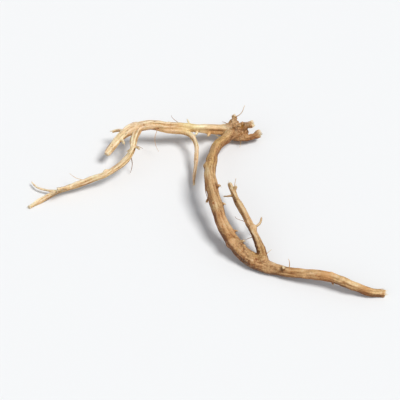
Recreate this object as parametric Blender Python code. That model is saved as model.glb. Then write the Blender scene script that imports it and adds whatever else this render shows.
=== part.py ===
"""A dried ginseng root, as dug and snapped off: a knotted head with two legs that fork into rootlets.

It grew as one piece, so it is one solid. It lies as it comes to rest on a table: the head, the bend and
the tip of the right leg and the tail of the long rootlet touch the table, and the rest arches clear of it.
Frame: metres, +Z up, +X towards the tip of the right leg, origin on the table under the middle of the root.
"""

import math
import random

import bmesh
import bpy
from mathutils import Matrix, Vector, noise

MM = 0.001

# Driving dimensions, in millimetres unless a line says otherwise.
ROOT_LENGTH = 98.0  # tail of the long rootlet to the tip of the right leg, along X
MIDDLE_Y = 1.1  # where the middle of the root's length and width lies in the lists below, across X
RING_SPACING = 1.25  # distance between the rings of points along a limb
FURROW_DEPTH = 0.17  # how deep the drying furrows run, as a share of a limb's radius
FURROW_TURN = 0.03  # radians that the furrows twist round a limb in each millimetre
WANDER = 0.35  # how far a limb strays sideways from its smooth course
WANDER_SPACING = 5.0  # distance between two turns of that course
WANDER_OFFSET = Vector((0, 0, 40))  # where the field is read again, for the second sideways direction
SWELLING = 0.16  # how far a limb swells and pinches, as a share of its radius
SWELLING_SPACING = 4.0  # distance between a swelling and a pinch
LUMP_ROUGHNESS = 0.12  # unevenness of a knot, as a share of its diameter
WELD = 0.005  # points of one tube closer than this are joined
TABLE_DEPTH = 8.0  # thickness of the block that trims the resting spots flat

# Broken rootlets that stand all along the limbs, placed by a seeded rule.
STUB_SEED = 11
STUB_SIDES = 6
STUB_SINK = 0.55  # how deep a stub's root sits in its limb, as a share of the limb's radius
STUB_CLEARANCE = 1.2  # no stub's tip comes nearer to the table than this

# Each limb's centre line: x, y, z and diameter in millimetres, from where it grows out of its parent to its tip.
# sides is the number of points round its section, and stubs the number of broken rootlets on it.
LIMBS = {
    "crown": {
        "sides": 14,
        "stubs": 2,
        "points": [
            (6.0, 27.2, 3.7, 2.6),
            (8.4, 27.7, 3.1, 4.0),
            (10.8, 28.2, 2.5, 5.3),
            (12.8, 28.6, 2.7, 4.4),
            (14.2, 28.9, 3.0, 2.6),
        ],
    },
    "bud": {
        "sides": 8,
        "stubs": 0,
        "points": [(10.6, 28.6, 3.6, 3.0), (10.1, 30.6, 4.9, 2.1), (10.5, 31.8, 5.7, 1.3)],
    },
    "upper_stub": {
        "sides": 10,
        "stubs": 0,
        "points": [(10.6, 28.4, 3.4, 2.8), (13.2, 28.4, 4.6, 1.9), (16.0, 28.2, 5.9, 2.1)],
    },
    "lower_stub": {
        "sides": 10,
        "stubs": 0,
        "points": [(10.4, 27.0, 2.6, 3.4), (13.4, 26.0, 2.4, 2.2), (16.0, 26.2, 2.5, 1.9), (17.8, 26.7, 2.7, 2.4)],
    },
    "left_leg": {
        "sides": 14,
        "stubs": 6,
        "points": [
            (10.5, 28.2, 3.2, 4.6),
            (5.0, 27.3, 4.5, 3.2),
            (-2.0, 26.4, 6.0, 2.4),
            (-9.5, 26.1, 7.4, 2.4),
            (-15.0, 25.5, 8.0, 2.8),
            (-19.5, 24.6, 7.5, 3.1),
            (-22.8, 22.6, 6.5, 2.5),
            (-25.2, 20.0, 5.2, 2.2),
            (-27.2, 17.2, 4.2, 1.7),
        ],
    },
    "long_rootlet": {
        "sides": 11,
        "stubs": 6,
        "points": [
            (-17.8, 25.2, 7.6, 2.7),
            (-19.1, 20.6, 7.5, 2.1),
            (-19.8, 16.2, 7.0, 1.8),
            (-21.9, 12.4, 6.0, 2.0),
            (-25.8, 9.8, 5.0, 1.8),
            (-30.8, 7.8, 4.0, 1.9),
            (-36.2, 6.2, 3.0, 1.7),
            (-41.4, 4.6, 1.7, 1.6),
            (-45.4, 2.6, 0.6, 1.5),
            (-48.4, 0.4, 0.4, 1.0),
        ],
    },
    "tail_fork": {
        "sides": 7,
        "stubs": 0,
        "points": [(-40.0, 5.0, 2.0, 1.4), (-43.4, 5.4, 1.7, 0.8), (-46.6, 6.8, 1.5, 0.6), (-48.4, 9.0, 1.3, 0.4)],
    },
    "hanging_rootlet": {
        "sides": 8,
        "stubs": 2,
        "points": [
            (-15.6, 25.3, 7.6, 1.6),
            (-9.5, 25.0, 6.3, 1.6),
            (-4.8, 24.9, 5.6, 1.6),
            (-2.3, 23.3, 5.6, 1.6),
            (-1.3, 20.7, 5.3, 1.4),
            (-1.0, 17.2, 4.5, 1.3),
            (-1.5, 12.7, 3.5, 1.1),
            (-1.9, 7.0, 2.4, 0.8),
        ],
    },
    "right_leg": {
        "sides": 16,
        "stubs": 9,
        "points": [
            (10.6, 28.0, 3.2, 4.6),
            (7.6, 23.2, 5.0, 3.1),
            (4.8, 17.6, 7.0, 2.9),
            (3.2, 10.8, 8.5, 3.3),
            (2.8, 3.9, 9.0, 3.6),
            (3.6, -1.7, 8.4, 3.6),
            (5.0, -7.1, 7.0, 3.5),
            (6.9, -11.8, 5.4, 3.6),
            (9.7, -15.8, 3.7, 3.8),
            (13.0, -18.7, 2.2, 4.2),
            (17.2, -20.8, 1.4, 3.8),
            (22.3, -22.7, 1.8, 2.8),
            (28.1, -24.4, 2.9, 2.6),
            (34.0, -25.9, 3.6, 2.7),
            (39.9, -28.0, 3.0, 2.5),
            (44.9, -29.2, 1.3, 2.3),
            (48.6, -29.4, 0.8, 2.1),
        ],
    },
    "side_rootlet": {
        "sides": 11,
        "stubs": 4,
        "points": [
            (17.2, -21.0, 1.8, 3.2),
            (16.7, -17.8, 3.4, 2.5),
            (15.3, -14.4, 4.9, 2.3),
            (13.4, -10.1, 6.0, 2.2),
            (11.3, -5.2, 6.5, 2.0),
            (9.7, 0.0, 6.5, 1.8),
            (8.4, 4.2, 6.2, 1.5),
        ],
    },
}

# Knots where limbs meet or old rootlets healed over: x, y, z and diameter in millimetres.
KNOTS = [
    (10.2, 29.4, 3.6, 3.6),
    (12.2, 27.6, 2.4, 3.8),
    (8.8, 27.0, 3.4, 3.6),
    (13.0, 29.4, 3.6, 2.6),
    (17.4, 26.9, 2.7, 2.6),
    (-18.8, 25.0, 7.6, 3.3),
    (-3.8, 24.8, 5.6, 1.9),
    (16.6, -19.4, 2.2, 4.0),
    (8.8, -15.2, 4.4, 3.9),
    (37.0, -27.3, 3.8, 2.6),
    (2.4, 8.4, 9.0, 3.1),
    (-27.0, 9.8, 5.1, 1.9),
    (14.4, -11.4, 6.1, 2.1),
]


def clear_scene():
    """Removes whatever the file opened with."""
    for leftover in list(bpy.data.objects):
        bpy.data.objects.remove(leftover)


def new_collection(name, is_helper=False):
    """A collection linked to the scene; helpers stay out of the render."""
    collection = bpy.data.collections.new(name)
    bpy.context.scene.collection.children.link(collection)
    collection.hide_render = is_helper
    return collection


def smooth_course(points):
    """Places, diameters and distances along a Catmull-Rom curve through a limb's points, one for each ring."""
    knots = [Vector(point) for point in points]
    knots.insert(0, knots[0] * 2 - knots[1])
    knots.append(knots[-1] * 2 - knots[-2])
    course = []
    travelled = 0.0
    for before, start, end, after in zip(knots, knots[1:], knots[2:], knots[3:]):
        span = (end.xyz - start.xyz).length
        steps = max(2, round(span / RING_SPACING))
        is_last = after is knots[-1]
        for step in range(steps + (1 if is_last else 0)):
            share = step / steps
            pull = (end - before) * (share - 2 * share**2 + share**3)
            push = (after - start) * (share**3 - share**2)
            rise = 3 * share**2 - 2 * share**3
            spot = start * (1 - rise) + end * rise + (pull + push) / 2
            course.append((wandered(spot.xyz), spot.w, travelled + span * share))
        travelled += span
    return course


def wandered(place):
    """The place moved sideways by a smooth field that all limbs share, so that they stay joined."""
    spot = place / WANDER_SPACING
    drift = Vector((noise.noise(spot), noise.noise(spot + WANDER_OFFSET), 0))
    return place + drift * WANDER


def furrowed_section(name, sides, helpers):
    """A limb's section of radius 1: a circle pinched by three deep furrows and five shallow ones."""
    outline = bpy.data.curves.new(name, "CURVE")
    outline.dimensions = "2D"
    spline = outline.splines.new("POLY")
    spline.points.add(sides - 1)
    for index, point in enumerate(spline.points):
        angle = 2 * math.pi * index / sides
        furrow = 0.6 * math.cos(3 * angle) + 0.4 * math.cos(5 * angle + 1)
        reach = 1 + FURROW_DEPTH * furrow
        point.co = (reach * math.cos(angle), reach * math.sin(angle), 0, 1)
    spline.use_cyclic_u = True
    section = bpy.data.objects.new(name, outline)
    section.hide_render = True
    section.display_type = "WIRE"
    helpers.objects.link(section)
    return section


def tube(name, course, sides, collection, helpers):
    """A closed mesh that carries the furrowed section along a course, as thick as the course says."""
    section = furrowed_section(name + "_section", sides, helpers)
    path = bpy.data.curves.new(name, "CURVE")
    path.dimensions = "3D"
    path.bevel_mode = "OBJECT"
    path.bevel_object = section
    path.use_fill_caps = True
    spline = path.splines.new("POLY")
    spline.points.add(len(course) - 1)
    for point, (place, diameter, travelled) in zip(spline.points, course):
        swell = 1 + SWELLING * noise.noise(place / SWELLING_SPACING)
        point.co = (*(place * MM), 1)
        point.radius = diameter / 2 * swell * MM
        point.tilt = FURROW_TURN * travelled
    curve_object = bpy.data.objects.new(name, path)
    helpers.objects.link(curve_object)
    graph = bpy.context.evaluated_depsgraph_get()
    mesh = bpy.data.meshes.new_from_object(curve_object.evaluated_get(graph))
    mesh.transform(curve_object.matrix_world)
    bpy.data.objects.remove(curve_object)
    bpy.data.objects.remove(section)
    work = bmesh.new()
    work.from_mesh(mesh)
    bmesh.ops.remove_doubles(work, verts=work.verts, dist=WELD * MM)
    bmesh.ops.recalc_face_normals(work, faces=work.faces)
    work.to_mesh(mesh)
    work.free()
    solid = bpy.data.objects.new(name, mesh)
    collection.objects.link(solid)
    return solid


def stub_course(course, dice):
    """A broken rootlet's short course: out of the side of a limb, then bent along it towards the limb's tip."""
    ring = dice.randrange(len(course) // 6, len(course) - 2)
    place, diameter, _ = course[ring]
    along = (course[ring + 1][0] - place).normalized()
    around = dice.uniform(0, 2 * math.pi)
    outward = Matrix.Rotation(around, 3, along) @ along.orthogonal().normalized()
    length = dice.choice((0.8, 1.1, 1.5, 2.2, 4.0))
    thickness = min(dice.uniform(0.6, 1.0), diameter * 0.5)
    lean = dice.uniform(0.2, 0.9)
    base = place + outward * diameter / 2 * (1 - STUB_SINK)
    skin = place + outward * diameter / 2
    middle = skin + (outward + along * lean * 0.5).normalized() * length / 2
    tip = middle + (outward * 0.7 + along * lean).normalized() * length / 2
    if min(middle.z, tip.z) < STUB_CLEARANCE:
        return None
    return [
        (base, thickness * 1.5, 0),
        (skin, thickness * 1.2, 0.5),
        (middle, thickness * 0.85, 1),
        (tip, thickness * 0.6, 2),
    ]


def add_stubs(limb_name, course, count, dice, limbs, helpers):
    """Broken rootlets at random places along one limb."""
    for index in range(count):
        stub = stub_course(course, dice)
        if stub:
            tube(f"{limb_name}_stub_{index}", stub, STUB_SIDES, limbs, helpers)


def add_knot(index, knot, collection):
    """An uneven lump of the given diameter, to be fused with the limbs that it sits on."""
    x, y, z, diameter = knot
    centre = wandered(Vector((x, y, z)))
    work = bmesh.new()
    bmesh.ops.create_icosphere(work, subdivisions=2, radius=diameter / 2 * MM)
    for vertex in work.verts:
        direction = vertex.co.normalized()
        bulge = noise.noise(centre + direction * 1.3)
        vertex.co += direction * bulge * LUMP_ROUGHNESS * diameter * MM
        vertex.co += centre * MM
    mesh = bpy.data.meshes.new(f"knot_{index}")
    work.to_mesh(mesh)
    work.free()
    collection.objects.link(bpy.data.objects.new(f"knot_{index}", mesh))


def table_block(helpers):
    """A block that fills the space under the table top, to trim the resting spots flat."""
    bpy.ops.mesh.primitive_cube_add(size=1)
    block = bpy.context.object
    block.name = "table_block"
    block.scale = Vector((2 * ROOT_LENGTH, 2 * ROOT_LENGTH, TABLE_DEPTH)) * MM
    block.location = (0, 0, -TABLE_DEPTH / 2 * MM)
    block.hide_render = True
    block.display_type = "WIRE"
    for holder in list(block.users_collection):
        holder.objects.unlink(block)
    helpers.objects.link(block)
    return block


def apply_modifiers(solid):
    """Replaces the object's mesh with the one that its modifiers make."""
    bpy.context.view_layer.update()
    graph = bpy.context.evaluated_depsgraph_get()
    made = bpy.data.meshes.new_from_object(solid.evaluated_get(graph))
    solid.modifiers.clear()
    solid.data = made


def fuse(root, limbs):
    """One union of the crown with every limb, stub and knot that grows from it."""
    union = root.modifiers.new("fuse", "BOOLEAN")
    union.operation = "UNION"
    union.solver = "MANIFOLD"
    union.operand_type = "COLLECTION"
    union.collection = limbs
    apply_modifiers(root)
    for limb in list(limbs.objects):
        bpy.data.objects.remove(limb)


def trim_resting_spots(root, block):
    """Cuts the underside level with the table wherever the root touches it."""
    trim = root.modifiers.new("trim_resting_spots", "BOOLEAN")
    trim.operation = "DIFFERENCE"
    trim.object = block
    apply_modifiers(root)


def put_middle_at_origin(root):
    """Moves the mesh so that the origin lies on the table under the middle of the root."""
    root.data.transform(Matrix.Translation((0, -MIDDLE_Y * MM, 0)))


def dried_root_material():
    """The dull tan skin of a dried root."""
    material = bpy.data.materials.new("dried_root_skin")
    material.use_nodes = True
    shader = material.node_tree.nodes["Principled BSDF"]
    shader.inputs["Base Color"].default_value = (0.55, 0.36, 0.18, 1)
    shader.inputs["Roughness"].default_value = 0.8
    shader.inputs["Metallic"].default_value = 0.0
    return material


def build():
    clear_scene()
    piece = new_collection("ginseng_root")
    limbs = new_collection("limbs")
    helpers = new_collection("helpers", is_helper=True)
    dice = random.Random(STUB_SEED)
    for name, limb in LIMBS.items():
        course = smooth_course(limb["points"])
        tube(name, course, limb["sides"], limbs, helpers)
        add_stubs(name, course, limb["stubs"], dice, limbs, helpers)
    for index, knot in enumerate(KNOTS):
        add_knot(index, knot, limbs)
    root = limbs.objects["crown"]
    limbs.objects.unlink(root)
    piece.objects.link(root)
    root.name = "ginseng_root"
    fuse(root, limbs)
    trim_resting_spots(root, table_block(helpers))
    put_middle_at_origin(root)
    root.data.materials.clear()
    root.data.materials.append(dried_root_material())
    root.data.shade_smooth()


build()
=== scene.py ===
import math
import random

import bmesh
import bpy
import numpy as np
from mathutils import Matrix, Vector, kdtree, noise


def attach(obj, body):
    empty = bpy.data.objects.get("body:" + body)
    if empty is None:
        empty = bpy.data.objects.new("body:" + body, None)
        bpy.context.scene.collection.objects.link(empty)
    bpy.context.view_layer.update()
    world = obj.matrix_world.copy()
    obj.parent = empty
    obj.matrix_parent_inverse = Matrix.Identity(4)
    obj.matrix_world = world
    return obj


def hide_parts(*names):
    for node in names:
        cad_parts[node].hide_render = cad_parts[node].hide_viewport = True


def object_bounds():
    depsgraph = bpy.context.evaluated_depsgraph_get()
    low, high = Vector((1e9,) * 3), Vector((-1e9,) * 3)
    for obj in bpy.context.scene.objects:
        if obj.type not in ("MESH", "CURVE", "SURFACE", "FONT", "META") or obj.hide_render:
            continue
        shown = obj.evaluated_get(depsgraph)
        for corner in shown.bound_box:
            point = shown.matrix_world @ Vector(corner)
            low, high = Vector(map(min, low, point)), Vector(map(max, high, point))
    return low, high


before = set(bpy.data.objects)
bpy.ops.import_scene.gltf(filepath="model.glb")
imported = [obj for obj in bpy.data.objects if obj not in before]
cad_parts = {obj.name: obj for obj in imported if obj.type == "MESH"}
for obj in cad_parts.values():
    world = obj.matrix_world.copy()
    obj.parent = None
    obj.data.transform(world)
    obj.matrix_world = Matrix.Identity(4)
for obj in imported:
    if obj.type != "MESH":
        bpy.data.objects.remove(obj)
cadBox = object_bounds()

mm = 0.001  # every shape below is worked out in millimetres and turned to metres when its mesh is made

plainLimb = {  # what a limb is where its own lines below say nothing else
    "stubs": 0,  # broken rootlets along it
    "hidden": 0.0,  # mm of its start that lie inside its parent
    "brokenTip": True,  # whether it ends in a snapped face
    "tone": 0.0,  # painted light and shade: below 0 the skin is painted paler, as if lit, above 0 browner, as if shaded
    "furrows": 1.0,  # share of the full furrow depth
    "seams": [],  # sides, seen from its middle, that are furrowed as if two strands had grown together
}

# The course of the root, in mm: each limb's centre line as x, y, z and diameter, from its parent to its tip.
limbs = {
    "crown": {
        "stubs": 2, "brokenTip": False, "tone": 0.16,
        "points": [
            (6.0, 27.2, 3.7, 2.6), (8.4, 27.7, 3.1, 4.0), (10.8, 28.2, 2.5, 5.3), (12.8, 28.6, 2.7, 4.4),
            (14.2, 28.9, 3.0, 2.6),
        ],
    },
    "bud": {
        "hidden": 1.4,
        "points": [
            (10.6, 28.6, 3.6, 3.0), (10.1, 30.6, 4.9, 2.1), (10.5, 31.8, 5.7, 1.3),
        ],
    },
    "upperStub": {
        "hidden": 1.8, "tone": 0.06,
        "seams": [(0.0, -0.6, 0.8)],
        "points": [
            (10.6, 28.4, 3.4, 2.8), (13.2, 28.4, 4.6, 1.9), (16.0, 28.2, 5.9, 2.1),
        ],
    },
    "lowerStub": {
        "hidden": 2.0, "tone": 0.16,
        "seams": [(0.0, -0.5, 0.8)],
        "points": [
            (10.4, 27.0, 2.6, 3.4), (13.4, 26.0, 2.4, 2.2), (16.0, 26.2, 2.5, 1.9), (17.8, 26.7, 2.7, 2.4),
        ],
    },
    "leftLeg": {
        "stubs": 6, "tone": -0.2,
        "seams": [(0.0, -1.0, -0.1), (0.1, 0.6, 0.8), (0.0, 0.2, -1.0)],
        "points": [
            (10.5, 28.2, 3.2, 4.6), (5.0, 27.3, 4.5, 3.2), (-2.0, 26.4, 6.0, 2.4), (-9.5, 26.1, 7.4, 2.4),
            (-15.0, 25.5, 8.0, 2.8), (-19.5, 24.6, 7.5, 3.1), (-22.8, 22.6, 6.5, 2.5),
            (-25.2, 20.0, 5.2, 2.2), (-27.2, 17.2, 4.2, 1.7),
        ],
    },
    "longRootlet": {
        "stubs": 6, "hidden": 1.2, "tone": -0.14,
        "seams": [(0.2, -0.5, 0.8), (0.0, 1.0, -0.2)],
        "points": [
            (-17.8, 25.2, 7.6, 2.7), (-19.1, 20.6, 7.5, 2.1), (-19.8, 16.2, 7.0, 1.8),
            (-21.9, 12.4, 6.0, 2.0), (-25.8, 9.8, 5.0, 1.8), (-30.8, 7.8, 4.0, 1.9), (-36.2, 6.2, 3.0, 1.7),
            (-41.4, 4.6, 1.7, 1.6), (-45.4, 2.6, 0.6, 1.5), (-48.4, 0.4, 0.4, 1.0),
        ],
    },
    "tailFork": {
        "hidden": 2.0, "tone": -0.14,
        "points": [
            (-40.0, 5.0, 2.0, 1.4), (-43.4, 5.4, 1.7, 0.8), (-46.6, 6.8, 1.5, 0.6), (-48.4, 9.0, 1.3, 0.4),
        ],
    },
    "hangingRootlet": {
        "stubs": 2, "tone": -0.1,
        "seams": [(-0.5, -0.4, 0.7)],
        "points": [
            (-15.6, 25.3, 7.6, 1.6), (-9.5, 25.0, 6.3, 1.6), (-4.8, 24.9, 5.6, 1.6), (-2.3, 23.3, 5.6, 1.6),
            (-1.3, 20.7, 5.3, 1.4), (-1.0, 17.2, 4.5, 1.3), (-1.5, 12.7, 3.5, 1.1), (-1.9, 7.0, 2.4, 0.8),
        ],
    },
    "rightLeg": {
        "stubs": 9, "tone": 0.08, "furrows": 0.5,
        "seams": [(1.0, 0.0, 0.3), (-1.0, 0.0, 0.3), (0.2, 0.0, -1.0)],
        "points": [
            (10.6, 28.0, 3.2, 4.6), (7.6, 23.2, 5.0, 3.1), (4.8, 17.6, 7.0, 2.9), (3.2, 10.8, 8.5, 3.3),
            (2.8, 3.9, 9.0, 3.6), (3.6, -1.7, 8.4, 3.6), (5.0, -7.1, 7.0, 3.5), (6.9, -11.8, 5.4, 3.6),
            (9.7, -15.8, 3.7, 3.8), (13.0, -18.7, 2.2, 4.2), (17.2, -20.8, 1.4, 3.8),
            (22.3, -22.7, 1.8, 2.8), (28.1, -24.4, 2.9, 2.6), (34.0, -25.9, 3.6, 2.7),
            (39.9, -28.0, 3.0, 2.5), (44.9, -29.2, 1.3, 2.3), (48.6, -29.4, 0.8, 2.1),
        ],
    },
    "sideRootlet": {
        "stubs": 4, "hidden": 2.4, "tone": 0.06, "furrows": 0.7,
        "seams": [(-0.6, 0.0, 0.8), (0.9, 0.2, -0.2)],
        "points": [
            (17.2, -21.0, 1.8, 3.2), (16.7, -17.8, 3.4, 2.5), (15.3, -14.4, 4.9, 2.3),
            (13.4, -10.1, 6.0, 2.2), (11.3, -5.2, 6.5, 2.0), (9.7, 0.0, 6.5, 1.8), (8.4, 4.2, 6.2, 1.5),
        ],
    },
}

# Knots where limbs meet or old rootlets healed over: x, y, z and diameter in mm.
knots = [
    (10.2, 29.4, 3.6, 3.6), (12.2, 27.6, 2.4, 3.8), (8.8, 27.0, 3.4, 3.6), (13.0, 29.4, 3.6, 2.6),
    (17.4, 26.9, 2.7, 2.6), (-18.8, 25.0, 7.6, 3.3), (-3.8, 24.8, 5.6, 1.9), (16.6, -19.4, 2.2, 4.0),
    (8.8, -15.2, 4.4, 3.9), (37.0, -27.3, 3.8, 2.6), (2.4, 8.4, 9.0, 3.1), (-27.0, 9.8, 5.1, 1.9),
    (14.4, -11.4, 6.1, 2.1),
]

rootForm = {
    "middleAcross": 1.1,  # where the middle of the root lies in the lists above, across its length
    "skinRings": 0.5,  # ring spacing of the tubes that the skin is made from
    "skinSides": 26,
    "furrowDepth": 0.17,  # share of a limb's radius
    "furrowTurn": 0.03,  # radians for each mm along
    "furrowWaves": ((0.6, 3, 0), (0.4, 5, 1)),  # depth, count round the limb and phase of each
    "wander": 0.35,
    "wanderSpacing": 5.0,
    "swelling": 0.16,
    "swellingSpacing": 4.0,
    "knotRoughness": 0.12,
    "knotLumps": 1.3,  # more makes the lumps on a knot smaller
    "stubSeed": 11,
    "stubRings": 1.25,  # ring spacing that the broken rootlets are placed by
    "stubSink": 0.55,  # share of the limb's radius that a broken rootlet's root sits in it
    "stubClearance": 1.2,  # mm that its tip keeps above the table
    "stubLengths": (0.8, 1.1, 1.5, 2.2, 4.0),
    "stubThickness": (0.6, 1.0),
    "stubLean": (0.2, 0.9),
    "stubSides": 12,
    "stubTaper": (1.5, 1.25, 1.0, 0.9),  # its thickness at its root, at the skin, halfway and at its tip
    "stubTone": 0.1,  # how much browner a broken rootlet is than its limb
    "hiddenReach": 1.5,  # radii that the hidden start of a limb counts as farther away
    "voxel": 0.18,  # grain of the fused skin
    "roundings": 5,  # passes that soften the fused skin
    "roundingShares": (0.55, -0.57),  # how far a pass draws it in, and then pushes it back out
    "forkRoundings": 14,  # further passes where one limb grows out of another
    "forkReach": (0.15, 0.9),  # how much nearer, in radii, its own limb is where that is full, and is over
    "stubForkShare": 0.2,  # share of it at the foot of a broken rootlet
    "knotCrease": (0.4, 1.3),  # mm from a knot's surface where the crease round it is full, and is over
}


def smoothCourse(points, spacing):
    # places, diameters and distances along a Catmull-Rom curve through the points
    marks = [Vector(point) for point in points]
    marks.insert(0, marks[0] * 2 - marks[1])
    marks.append(marks[-1] * 2 - marks[-2])
    course = []
    travelled = 0.0
    for before, start, end, after in zip(marks, marks[1:], marks[2:], marks[3:]):
        span = (end.xyz - start.xyz).length
        steps = max(2, round(span / spacing))
        isLast = after is marks[-1]
        for step in range(steps + (1 if isLast else 0)):
            share = step / steps
            pull = (end - before) * (share - 2 * share**2 + share**3)
            push = (after - start) * (share**3 - share**2)
            rise = 3 * share**2 - 2 * share**3
            spot = start * (1 - rise) + end * rise + (pull + push) / 2
            course.append((spot.xyz, spot.w, travelled + span * share))
        travelled += span
    return course


def limbCourse(limb, spacing):
    return [
        (wandered(place), diameter, travelled)
        for place, diameter, travelled in smoothCourse(limb["points"], spacing)
    ]


def wandered(place):
    # a sideways drift that all limbs share, so that they stay joined
    spot = place / rootForm["wanderSpacing"]
    drift = Vector((noise.noise(spot), noise.noise(spot + Vector((0, 0, 40))), 0))
    return place + drift * rootForm["wander"]


def outwardFrom(along, dice):
    return Matrix.Rotation(dice.uniform(0, 2 * math.pi), 3, along) @ along.orthogonal().normalized()


def stubPoints(course, dice):
    # a broken rootlet: out of the side of a limb, then bent along it towards the limb's tip
    ring = dice.randrange(len(course) // 6, len(course) - 2)
    place, diameter, travelled = course[ring]
    along = (course[ring + 1][0] - place).normalized()
    outward = outwardFrom(along, dice)
    length = dice.choice(rootForm["stubLengths"])
    thickness = min(dice.uniform(*rootForm["stubThickness"]), diameter * 0.5)
    lean = dice.uniform(*rootForm["stubLean"])
    base = place + outward * diameter / 2 * (1 - rootForm["stubSink"])
    skin = place + outward * diameter / 2
    middle = skin + (outward + along * lean * 0.5).normalized() * length / 2
    tip = middle + (outward * 0.7 + along * lean).normalized() * length / 2
    if min(middle.z, tip.z) < rootForm["stubClearance"]:
        return None
    spots = zip((base, skin, middle, tip), rootForm["stubTaper"])
    return [(*spot, thickness * share) for spot, share in spots]


def makeBranches():
    # every limb, and then every broken rootlet, with the centre line that the skin is grown round
    dice = random.Random(rootForm["stubSeed"])
    branches = []
    stubs = []
    for ownLines in limbs.values():
        limb = {**plainLimb, **ownLines}
        branches.append({
            **limb, "isStub": False, "sides": rootForm["skinSides"],
            "course": limbCourse(limb, rootForm["skinRings"]),
        })
        coarse = limbCourse(limb, rootForm["stubRings"])
        for turn in range(limb["stubs"]):
            points = stubPoints(coarse, dice)
            if points:
                hidden = (Vector(points[1][:3]) - Vector(points[0][:3])).length
                stubs.append({
                    **plainLimb, "isStub": True, "sides": rootForm["stubSides"], "hidden": hidden,
                    "tone": limb["tone"] + rootForm["stubTone"],
                    "course": smoothCourse(points, rootForm["skinRings"]),
                })
    return branches + stubs


def addObject(name, data):
    made = bpy.data.objects.new(name, data)
    bpy.context.collection.objects.link(made)
    return made


def shapedMesh(item):
    # the mesh that its curves or modifiers come to
    ready = item.evaluated_get(bpy.context.evaluated_depsgraph_get())
    return bpy.data.meshes.new_from_object(ready)


def furrowedSection(sides, depth):
    outline = bpy.data.curves.new("section", "CURVE")
    outline.dimensions = "2D"
    spline = outline.splines.new("POLY")
    spline.points.add(sides - 1)
    for index, point in enumerate(spline.points):
        angle = 2 * math.pi * index / sides
        waves = [share * math.cos(count * angle + phase) for share, count, phase in rootForm["furrowWaves"]]
        reach = 1 + depth * sum(waves)
        point.co = (reach * math.cos(angle), reach * math.sin(angle), 0, 1)
    spline.use_cyclic_u = True
    return addObject("section", outline)


def addTube(work, branch):
    # adds one closed furrowed tube to the bmesh
    course = branch["course"]
    section = furrowedSection(branch["sides"], rootForm["furrowDepth"] * branch["furrows"])
    path = bpy.data.curves.new("limb", "CURVE")
    path.dimensions = "3D"
    path.bevel_mode = "OBJECT"
    path.bevel_object = section
    path.use_fill_caps = True
    spline = path.splines.new("POLY")
    spline.points.add(len(course) - 1)
    for point, (place, diameter, travelled) in zip(spline.points, course):
        swell = 1 + rootForm["swelling"] * noise.noise(place / rootForm["swellingSpacing"])
        point.co = (*place, 1)
        point.radius = diameter / 2 * swell
        point.tilt = rootForm["furrowTurn"] * travelled
    limb = addObject("limb", path)
    tube = shapedMesh(limb)
    work.from_mesh(tube)
    bpy.data.meshes.remove(tube)
    bpy.data.objects.remove(limb)
    bpy.data.objects.remove(section)


def addKnot(work, knot):
    x, y, z, diameter = knot
    centre = wandered(Vector((x, y, z)))
    made = bmesh.ops.create_icosphere(work, subdivisions=4, radius=diameter / 2)
    for vertex in made["verts"]:
        direction = vertex.co.normalized()
        bulge = noise.noise(centre + direction * rootForm["knotLumps"])
        vertex.co += direction * bulge * rootForm["knotRoughness"] * diameter + centre


def fusedSkin(branches):
    # all branches and knots as one closed skin of even grain, still in mm
    work = bmesh.new()
    for branch in branches:
        addTube(work, branch)
    for knot in knots:
        addKnot(work, knot)
    bmesh.ops.remove_doubles(work, verts=work.verts, dist=0.0005)
    rough = bpy.data.meshes.new("rough")
    work.to_mesh(rough)
    work.free()
    holder = addObject("holder", rough)
    remesh = holder.modifiers.new("fuse", "REMESH")
    remesh.mode = "VOXEL"
    remesh.voxel_size = rootForm["voxel"]
    bpy.context.view_layer.update()
    skin = shapedMesh(holder)
    bpy.data.objects.remove(holder)
    return skin


def readRows(items, name, width, kind=float):
    rows = np.empty(len(items) * width, kind)
    items.foreach_get(name, rows)
    return rows.reshape(-1, width)


def normalsAt(places, mesh):
    mesh.vertices.foreach_set("co", places.ravel())
    mesh.update()
    return readRows(mesh.vertex_normals, "vector", 3)


def neighbourMean(values, edges):
    # mean of each point's neighbours, for a list of numbers or of places
    count = len(values)
    first, second = edges[:, 0], edges[:, 1]
    links = np.bincount(first, minlength=count) + np.bincount(second, minlength=count)
    columns = values.reshape(count, -1).T
    sums = [
        np.bincount(first, weights=column[second], minlength=count)
        + np.bincount(second, weights=column[first], minlength=count)
        for column in columns
    ]
    return (np.array(sums) / np.maximum(links, 1)).T.reshape(values.shape)


def rounded(places, edges, passes):
    # a smoothing that pushes back out what it draws in, so that thin rootlets keep their thickness
    for turn in range(passes):
        for share in rootForm["roundingShares"]:
            places = places + share * (neighbourMean(places, edges) - places)
    return places


def unit(vectors):
    return vectors / np.linalg.norm(vectors, axis=-1, keepdims=True)


def distanceTo(places, spot):
    return np.linalg.norm(places - spot, axis=1)


def nearestPlace(places, spot):
    return places[distanceTo(places, spot).argmin()]


def centreLines(branches):
    # each branch's course as arrays, with a sideways direction carried along it without twist
    lines = []
    for branch in branches:
        centres = np.array([place for place, diameter, travelled in branch["course"]])
        tangents = unit(np.gradient(centres, axis=0))
        side = np.cross(tangents[0], (0.3, 0.2, 1.0))
        sides = []
        for tangent in tangents:
            side = unit(side - tangent * side.dot(tangent))
            sides.append(side)
        sides = np.array(sides)
        steps = np.linalg.norm(np.diff(centres, axis=0), axis=1)
        lines.append({
            "centres": centres, "tangents": tangents, "sides": sides, "ups": np.cross(tangents, sides),
            "radii": np.array([max(diameter, 0.2) / 2 for place, diameter, travelled in branch["course"]]),
            "along": np.concatenate([[0], np.cumsum(steps)]), "hidden": branch["hidden"],
        })
    return lines


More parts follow.
